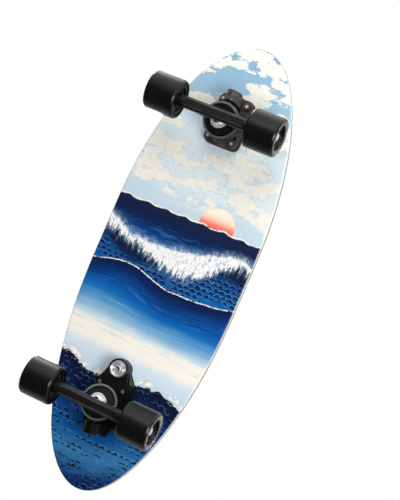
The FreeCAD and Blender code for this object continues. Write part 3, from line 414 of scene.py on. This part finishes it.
    def surf(self, base, under, reach):
        """Spray along a crest, streaking down the face of the wave as far as reach."""
        m = self.m
        streak = m.noise(7.0, 4.0, 0.7, m.vector(self.across * 1.3, under * 0.35)) - 0.5
        fine = m.noise(2.2, 3.0, 0.65, m.vector(self.across * 1.2, under * 0.3))
        depth = (reach - under + streak * 62.0).low(under + 5.0 + self.fringe * 0.8)
        body = m.mix(linear(253, 250, 244), linear(168, 190, 216), fine.ramp(0.48, 0.64) * 0.7)
        hollows = (streak * -1.0 + (fine - 0.5) * 0.4).ramp(0.03, 0.13)
        body = m.mix(body, linear(70, 112, 170), hollows * 0.6)
        result = m.mix(base, linear(150, 186, 220), (depth / 10.0).ramp(-1.4, 0.4) * 0.4)
        result = m.mix(result, self.CREAM, self.drops * depth.ramp(-9.0, -1.0) * 0.8)
        return m.mix(result, body, (depth / 3.0).ramp(-1.0, 1.4))

    def ripples(self, base, spacing, ink, cover):
        """Rows of rounded ripples that overlap like tiles: a dark lens under a light rim."""
        m = self.m
        x = self.x + self.flutter * spacing * 0.4 + self.wobble * 6.0
        row = (x / spacing).floor()
        side = ((self.across + self.wobble * 12.0) / (spacing * 1.55) + (row * 0.5).fract()).fract()
        side = side - 0.5
        drop = (x / spacing).fract() - side * side * 1.7
        grow = m.noise(spacing * 0.9, 1.0, 0.5, self.here) - 0.5
        thick = 0.33 - side * side * 1.2 + grow * 0.5
        lens = (thick - (drop - 0.45).size()).ramp(-0.05, 0.05)
        rim = (0.05 - (drop - 0.35 + thick).size()).ramp(-0.07, 0.02) * side.size().ramp(0.5, 0.4)
        result = m.mix(base, linear(118, 170, 214), rim * cover * 0.55)
        return m.mix(result, ink, lens * cover)

    def shallows(self, base):
        """Calmer water under the waves, paling to a bright shore and then blue again."""
        m, x, across = self.m, self.x, self.across
        edge = self.below_crest(68.0, 7.0, 330.0, 0.2)
        shore = x - 126.0 + self.wobble * 10.0
        marks = self.strokes(12.0, x * 1.6, across * 0.07)
        fine = self.strokes(2.4, x * 1.5, across * 0.03)
        near = edge / (edge - shore) + (marks - 0.5) * 0.3
        colour = self.gradient(near.low(1.0) + (shore / 60.0).high(0.0), [
            (-0.1, linear(3, 84, 164)), (0.08, linear(6, 94, 172)), (0.22, linear(26, 110, 178)),
            (0.35, linear(66, 136, 190)), (0.5, linear(98, 156, 200)),
            (0.66, linear(132, 175, 207)), (0.82, linear(182, 210, 227)),
            (1.0, linear(226, 231, 231)), (1.25, linear(232, 235, 233)),
            (1.5, linear(216, 229, 236)), (2.0, linear(192, 214, 230))])
        colour = m.mix(colour, linear(253, 244, 227), shore.band(14.0, 14.0, 18.0) * 0.7)
        lines = fine.ramp(0.47, 0.38) * shore.band(4.0, 14.0, 10.0)
        colour = m.mix(colour, linear(150, 178, 204), lines * 0.4)
        streak = fine.ramp(0.58, 0.68) * edge.ramp(4, 30) * shore.ramp(0, -20)
        colour = m.mix(colour, linear(206, 224, 238), streak * 0.4)
        return m.mix(base, colour, (edge + (marks - 0.5) * 12.0).ramp(-6, 6))

    def nose_sea(self, base):
        """A second sea beyond the shallows, under a line of small breakers."""
        m = self.m
        under = self.below_crest(194.0, 8.0, 170.0, 2.6)
        marks = self.strokes(16.0, under * 1.7 + self.wobble * 30.0, self.across * 0.3)
        colour = self.gradient(under + (marks - 0.5) * 60.0, [
            (-10, linear(8, 11, 28)), (24, linear(9, 24, 62)), (60, linear(5, 58, 124)),
            (95, linear(10, 92, 164)), (125, linear(60, 132, 188)), (165, linear(6, 50, 112)),
            (200, linear(8, 22, 58))])
        colour = self.ripples(colour, 7.5, linear(5, 16, 48), marks.ramp(0.5, 0.56) * 0.85)
        colour = m.mix(base, colour, (under + self.fringe * 0.8).ramp(-0.6, 0.6))
        depth = 4.0 - (under + 5.0).size() + self.fringe * 1.2
        return self.foam(colour, depth)

    def paint(self):
        """The whole picture, from the sky over the tail down to the sea at the nose."""
        horizon = self.below_crest(self.HORIZON, 1.2, 34.0, 0.0)
        colour = self.swell(self.sun(self.sky()), horizon, [
            (0, linear(22, 33, 66)), (20, linear(12, 28, 68)), (36, linear(6, 42, 98)),
            (60, linear(8, 80, 152))], 1.6)
        roller = self.below_crest(-34.0, 14.0, 260.0, 2.4)
        colour = self.swell(colour, roller, [
            (0, linear(13, 15, 33)), (26, linear(8, 24, 58)), (42, linear(2, 66, 140)),
            (70, linear(10, 92, 162))], 2.0)
        scales = roller.band(52.0, 30.0, 6.0) * (self.wobble + self.flutter * 0.2).ramp(-0.12, -0.06)
        colour = self.ripples(colour, 7.4, linear(3, 20, 58), scales * 0.9)
        colour = self.surf(colour, roller, (self.across / 34.0 + 0.8).sine() * 15.0 + 20.0)
        follow = self.below_crest(28.0, 8.0, 220.0, 0.4)
        colour = self.swell(colour, follow, [
            (0, linear(7, 20, 54)), (14, linear(4, 40, 96)), (32, linear(2, 70, 146)),
            (50, linear(6, 86, 162))], 1.0)
        colour = self.nose_sea(self.shallows(colour))
        tooth = self.m.noise(1.6, 2.0, 0.6, self.here)
        return self.m.mix(colour, linear(70, 84, 108), tooth.ramp(0.5, 0.9) * 0.08)


def deck_material():
    m = Material("printed_maple", Specular_IOR_Level=0.2, Coat_Weight=0.2, Coat_Roughness=0.08)
    picture = Seascape(m).paint()
    side = m.facing()
    grain = m.noise(5.0, 4.0, 0.6, m.vector(m.x * 0.08, m.y * 1.2, m.z * 4.0))
    rise = m.z - deck_low / MM
    bend = (m.x.size() - 290.0).high(0.0)
    ply = ((rise - bend * bend * 0.0012) / 1.57).floor()
    odd = (ply * 0.5).fract() * 2.0
    pale = m.mix(linear(236, 232, 226), linear(204, 186, 158), odd * 0.7)
    dyed = m.mix(linear(22, 30, 50), linear(38, 50, 78), odd * 0.8)
    wood = m.mix(pale, dyed, ply.ramp(1.8, 2.2))
    wood = m.mix(wood, linear(70, 52, 40), grain.ramp(0.5, 0.8) * 0.3)
    under = side.ramp(-0.62, -0.85)
    m.colour(m.mix(wood, picture, under))
    m.roughness(grain * 0.08 + 0.26)
    m.bump(grain, 0.03)
    return m


paint(deck_material(), ["deck"])


# ---------------------------------------------------------------- hardware materials

WHEELS = [side + "_" + hand for side in ("rear", "front") for hand in ("left", "right")]
ENDS = ("rear", "front")
AXLE_X = {end: (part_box(end + "_axle")[0].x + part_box(end + "_axle")[1].x) / 2 / MM for end in ENDS}
AXLE_Z = 31.0
RING_HEIGHT = 43.0                      # the middle of the hanger's ring, above the axle
TOWARDS_MIDDLE = {"rear": 1.0, "front": -1.0}
KINGPIN_LEAN = math.radians(12.0)


def each_end(*names):
    return [end + "_" + name for end in ENDS for name in names]


def dimmed(tone, factor):
    return tuple(part * factor for part in tone[:3]) + (1.0,)


def along_kingpin(m, end):
    """A point's radius about the truck's kingpin, and its height above the hanger's ring."""
    out = (m.x - AXLE_X[end]) * TOWARDS_MIDDLE[end]
    up = m.z - AXLE_Z - RING_HEIGHT
    sine, cosine = math.sin(KINGPIN_LEAN), math.cos(KINGPIN_LEAN)
    return distance(out * cosine + up * sine, m.y), up * cosine - out * sine


def black_material(name, tone, rough, grain, depth, dust=0.4):
    """Painted or moulded black: a fine relief, a little dust and an uneven sheen."""
    m = Material(name, Specular_IOR_Level=0.22)
    relief = m.noise(grain, 3.0, 0.6)
    film = m.noise(17.0, 4.0, 0.65).ramp(0.45, 0.85) * dust
    m.colour(m.mix(tone, dimmed(tone, 3.5), film + relief.ramp(0.6, 0.85) * 0.2))
    m.roughness(film * 0.3 + rough)
    m.bump(relief, depth)
    return m


def hanger_material(end):
    """Black powder coat, with a painted grey highlight on the ring's rim and patchy painted highlight
    lines on the bar's chamfer ridges.
    """
    m = Material(end + "_hanger_coat", Specular_IOR_Level=0.3)
    peel = m.noise(0.9, 3.0, 0.6)
    radius, height = along_kingpin(m, end)
    # Painted highlight: the ring's rim above 46 mm is painted grey, and a patchy grey line runs along
    # the bar's road-side chamfer ridges.
    rim = radius.band(27.4, 2.6, 0.7) * height.ramp(-3.5, -6.0) * m.z.ramp(46.0, 50.0)
    low_face = m.z.ramp(AXLE_Z - 8.0, AXLE_Z - 8.6) * m.y.size().ramp(52.0, 49.0)
    ridge = (m.x - AXLE_X[end]).size().band(5.4, 0.35, 0.3) * low_face
    patchy = m.noise(9.0, 3.0, 0.6, m.vector(m.x, m.y * 0.25, m.z)).ramp(0.3, 0.65)
    painted_highlight = (rim * 0.75 + rim * patchy * 0.25).high(ridge * patchy * 0.7)
    coat = m.mix(linear(9, 9, 9), linear(24, 22, 20), m.noise(15.0, 4.0, 0.6).ramp(0.5, 0.8))
    # The painted highlight lightens the black coat to grey.
    m.colour(m.mix(coat, linear(104, 106, 106), painted_highlight))
    m.roughness(0.42 - painted_highlight * 0.1 + peel * 0.08)
    m.bump(peel, 0.05)
    return m


def casting_material():
    """Rough sand casting: dark grey-brown with pale and rusty specks."""
    m = Material("rough_casting", Specular_IOR_Level=0.35)
    pits = m.noise(2.4, 3.0, 0.75)
    specks = m.cells(2.1)
    tone = m.mix(linear(20, 16, 14), linear(92, 84, 78), pits.ramp(0.4, 0.62))
    tone = m.mix(tone, linear(118, 74, 52), m.noise(3.6, 3.0, 0.6).ramp(0.6, 0.7) * 0.45)
    m.colour(m.mix(tone, linear(186, 178, 170), specks.ramp(0.2, 0.1) * 0.6))
    m.roughness(pits * 0.2 + 0.42)
    m.bump(pits, 0.3)
    return m


def bright_material(name, tone, rough, grain=0.6, scratch=0.05, metallic=0.6):
    """Plated or machined steel with fine scratches and faint smudges."""
    m = Material(name, Metallic=metallic)
    brushed = m.noise(grain, 3.0, 0.6, m.vector(m.x * 0.3, m.y, m.z))
    smudge = m.noise(7.0, 3.0).ramp(0.4, 0.75)
    m.colour(m.mix(tone, dimmed(tone, 0.7), smudge * 0.5 + brushed * 0.1))
    m.roughness(smudge * 0.14 + rough)
    m.bump(brushed, scratch)
    return m


def kingpin_nut_material(end):
    """Zinc-plated flats around a white locking insert."""
    m = Material(end + "_lock_nut", Metallic=0.45)
    radius, height = along_kingpin(m, end)
    insert = radius.band(5.6, 2.6, 0.2)
    wear = m.noise(1.4, 3.0, 0.6)
    steel = m.mix(linear(246, 247, 250), linear(214, 216, 220), wear.ramp(0.4, 0.7))
    m.colour(m.mix(steel, linear(248, 249, 252), insert))
    m.roughness(wear * 0.2 + 0.25)
    m.bump(wear, 0.04)
    return m


def turned_material():
    """The pivot's bolt and nut: bright steel with the lathe's rings, and painted shade in the middle.
    """
    m = Material("turned_steel", Metallic=0.62)
    pivot_low, pivot_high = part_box("pivot_nut")
    centre = (pivot_low.x + pivot_high.x) / 2 / MM
    radius = distance(m.x - centre, m.y)
    rings = (radius * 7.4).sine() * 0.5 + 0.5
    coarse = (radius * 2.1 + m.noise(8.0) * 1.2).sine() * 0.5 + 0.5
    tone = m.mix(linear(232, 233, 236), linear(120, 121, 126), coarse * 0.55 + rings * 0.2)
    # Painted shade: the middle, within about 3.6 mm of the axis, is darkened.
    m.colour(m.mix(tone, linear(54, 52, 52), radius.ramp(3.6, 2.6) * 0.85))
    m.roughness(rings * 0.12 + 0.16)
    m.bump(rings + coarse * 2.0, 0.12)
    return m


def bearing_material(end):
    """Ground races around a dark pressed shield."""
    m = Material(end + "_bearing", Metallic=0.7)
    radius = distance(m.x - AXLE_X[end], m.z - AXLE_Z)
    shield = radius.band(7.7, 2.6, 0.2)
    rings = (radius * 9.0).sine() * 0.5 + 0.5
    m.colour(m.mix(m.mix(linear(206, 208, 214), linear(168, 170, 176), rings),
                   linear(46, 46, 50), shield))
    m.roughness(shield * 0.25 + 0.2 + rings * 0.06)
    m.bump(rings, 0.03)
    return m


def tyre_material(end):
    """Black urethane with a plain ring of ticks, dots and waves printed on its outer face."""
    m = Material(end + "_urethane", Specular_IOR_Level=0.28)
    down, up = m.x - AXLE_X[end], m.z - AXLE_Z
    radius = distance(down, up)
    turn = up.math("ARCTAN2", down)
    face = m.y.size().ramp(107.6, 108.4)
    patchy = m.noise(0.8, 3.0, 0.7, m.vector(m.x, m.y * 0.6, m.z)).ramp(0.36, 0.52)
    ticks = radius.band(25.6, 1.5, 0.15) * (turn * 15.0).sine().ramp(-0.2, 0.2)
    line = radius.band(27.3, 0.35, 0.15)
    waves = (radius - (turn * 14.0).sine() * 0.8).band(23.2, 0.7, 0.15)
    dots = radius.band(21.3, 0.6, 0.2) * (turn * 24.0).sine().ramp(0.1, 0.5)
    sectors = (turn * 3.0).sine().ramp(-0.9, 0.1) * 0.65 + 0.35
    ink = ticks.high(line).high(waves).high(dots) * face * patchy * sectors
    film = m.noise(13.0, 4.0, 0.65).ramp(0.5, 0.9)
    scuff = m.noise(1.1, 3.0, 0.6, m.vector(m.x, m.y * 0.3, m.z))
    rubber = m.mix(linear(8, 8, 8), linear(30, 26, 24), film * 0.5 + scuff.ramp(0.62, 0.8) * 0.4)
    m.colour(m.mix(rubber, linear(226, 218, 210), ink))
    m.roughness(film * 0.2 + 0.3)
    m.bump(scuff + ink * 0.3, 0.03)
    return m


def core_material(end):
    """The wheel's moulded core, flecked, with a painted highlight ring where the tyre is cast on."""
    m = Material(end + "_core_plastic", Specular_IOR_Level=0.35, Metallic=0.25)
    radius = distance(m.x - AXLE_X[end], m.z - AXLE_Z)
    flake = m.cells(1.1).ramp(0.3, 0.12)
    tone = m.mix(linear(22, 20, 20), linear(128, 124, 120), flake * 0.45)
    # Painted highlight: a thin bright ring 18.4 mm from the axle.
    m.colour(m.mix(tone, linear(176, 172, 168), radius.band(18.4, 0.5, 0.25) * 0.8))
    m.roughness(m.noise(4.0) * 0.2 + 0.28)
    m.bump(m.noise(1.2), 0.04)
    return m


def rubber_material(name, tone, rough, grain, depth):
    m = Material(name)
    speckle = m.noise(grain, 3.0, 0.6)
    m.colour(m.mix(tone, dimmed(tone, 1.5), speckle.ramp(0.4, 0.8)))
    m.roughness(m.noise(14.0, 2.0) * 0.2 + rough)
    m.bump(speckle, depth)
    return m


def grip_material():
    m = Material("grip_sheet", Roughness=0.85)
    grit = m.cells(0.7)
    painted_glints = m.noise(0.5, 2.0, 0.7).ramp(0.68, 0.74)
    patchy = m.noise(60.0, 3.0).ramp(0.4, 0.8)
    base = m.mix(linear(22, 22, 24), linear(38, 38, 40), patchy)
    # Painted highlight: pale glints scattered over the grit.
    m.colour(m.mix(base, linear(96, 96, 100), painted_glints * 0.7))
    m.bump(grit, 0.5)
    return m


BLACK = linear(9, 9, 9)
ZINC = linear(246, 247, 250)
paint(grip_material(), ["grip_tape"])
paint(black_material("riser_rubber", linear(16, 16, 16), 0.6, 1.2, 0.06),
      each_end("riser", "pivot_cup"))
paint(black_material("powder_coat", BLACK, 0.4, 0.9, 0.06), ["swing_arm", "front_baseplate"])
paint(casting_material(), ["rear_baseplate"])
paint(bright_material("black_oxide", linear(44, 44, 48), 0.3),
      ["front_deck_nuts", "rear_kingpin", "front_kingpin", "centering_spring"])
paint(bright_material("plug_steel", linear(150, 150, 154), 0.3), ["access_plugs"])
paint(bright_material("zinc_plate", ZINC, 0.26),
      each_end("deck_bolts", "cupped_washers", "speed_washers", "axle_nuts", "axle")
      + [wheel + "_spacer" for wheel in WHEELS])
paint(bright_material("dull_zinc", linear(92, 88, 84), 0.4, scratch=0.1), ["rear_deck_nuts"])
paint(turned_material(), ["pivot_bolt", "pivot_nut"])
paint(bright_material("race_steel", linear(190, 192, 198), 0.25, metallic=0.8),
      ["lower_thrust_bearing", "upper_thrust_bearing"])
paint(bright_material("bronze", linear(186, 142, 82), 0.35, metallic=0.9), ["pivot_sleeve"])
for end in ENDS:
    wheels = [wheel for wheel in WHEELS if wheel.startswith(end)]
    paint(hanger_material(end), [end + "_hanger"])
    paint(kingpin_nut_material(end), [end + "_kingpin_nut"])
    paint(bearing_material(end), [wheel + "_bearings" for wheel in wheels])
    paint(tyre_material(end), [wheel + "_tyre" for wheel in wheels])
    paint(core_material(end), [wheel + "_core" for wheel in wheels])


# ---------------------------------------------------------------- bushings

HALF_RING = 4.5                         # heights are along the kingpin, from the ring's middle
PLAY = 0.1
SEAT = 17.3
WASHER = -15.5
WIDE = 12.0                             # outer radii
NARROW = 9.5
RING_BORE = 6.6
FIXED_BORE = 4.9
CORNER = 0.9
WAIST = 0.25


def kingpin_frame(end):
    """The middle of the hanger's ring, with Z along the kingpin towards the deck."""
    half_turn = 0.0 if end == "rear" else math.pi
    return (Matrix.Translation((AXLE_X[end] * MM, 0, AXLE_Z * MM))
            @ Matrix.Rotation(half_turn, 4, "Z") @ Matrix.Translation((0, 0, RING_HEIGHT * MM))
            @ Matrix.Rotation(-KINGPIN_LEAN, 4, "Y"))


def bushing_profile(ring_end, fixed_end, fixed_radius):
    """A closed outline of (radius, height) points. The bore is wide at the ring, where the
    bushing moves across the kingpin, and the outside is slightly waisted with rounded ends."""
    steps, corner_steps = 12, 4
    inward = math.copysign(CORNER, ring_end - fixed_end)
    parts = [step / steps for step in range(steps + 1)]
    turns = [math.pi / 2 * step / corner_steps for step in range(corner_steps + 1)]
    bore = [(RING_BORE - (RING_BORE - FIXED_BORE) * max(0.0, part * 1.6 - 0.6),
             ring_end + (fixed_end - ring_end) * part) for part in parts]
    fixed_corner = [(fixed_radius - CORNER + CORNER * math.sin(angle),
                     fixed_end + inward * (1 - math.cos(angle))) for angle in turns]
    outside = [(fixed_radius + (WIDE - fixed_radius) * part - WAIST * math.sin(part * math.pi) ** 2,
                fixed_end + inward + (ring_end - fixed_end - 2 * inward) * part)
               for part in parts[1:-1]]
    ring_corner = [(WIDE - CORNER + CORNER * math.cos(angle),
                    ring_end - inward * (1 - math.sin(angle))) for angle in turns]
    return bore + fixed_corner + outside + ring_corner


def turned_piece(name, outline, place, sides=64):
    """A closed outline turned about the Z axis of place, as a smooth mesh."""
    shape = bmesh.new()
    rings = []
    for radius, height in outline:
        ring = []
        for index in range(sides):
            angle = 2 * math.pi * index / sides
            spot = Vector((radius * math.cos(angle), radius * math.sin(angle), height)) * MM
            ring.append(shape.verts.new(place @ spot))
        rings.append(ring)
    for ring, following in zip(rings, rings[1:] + rings[:1]):
        for index in range(sides):
            face = shape.faces.new((ring[index - 1], ring[index],
                                    following[index], following[index - 1]))
            face.smooth = True
    bmesh.ops.recalc_face_normals(shape, faces=shape.faces)
    mesh = bpy.data.meshes.new(name)
    shape.to_mesh(mesh)
    shape.free()
    piece = bpy.data.objects.new(name, mesh)
    bpy.context.scene.collection.objects.link(piece)
    return piece


def make_bushings():
    """Two white bushings on each kingpin. One end stays on its seat, the other on the ring."""
    urethane = rubber_material("white_urethane", linear(226, 226, 220), 0.35, 3.0, 0.02)
    for end in ENDS:
        place = kingpin_frame(end)
        for node, ring_end, fixed_end, fixed_radius in (
                ("boardside_bushing", HALF_RING + PLAY, SEAT, WIDE),
                ("roadside_bushing", -HALF_RING - PLAY, WASHER, NARROW)):
            outline = bushing_profile(ring_end, fixed_end, fixed_radius)
            piece = turned_piece(end + "_soft_" + node, outline, place)
            piece.data.materials.append(urethane.material)
            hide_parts(end + "_" + node)
            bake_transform(piece)


make_bushings()
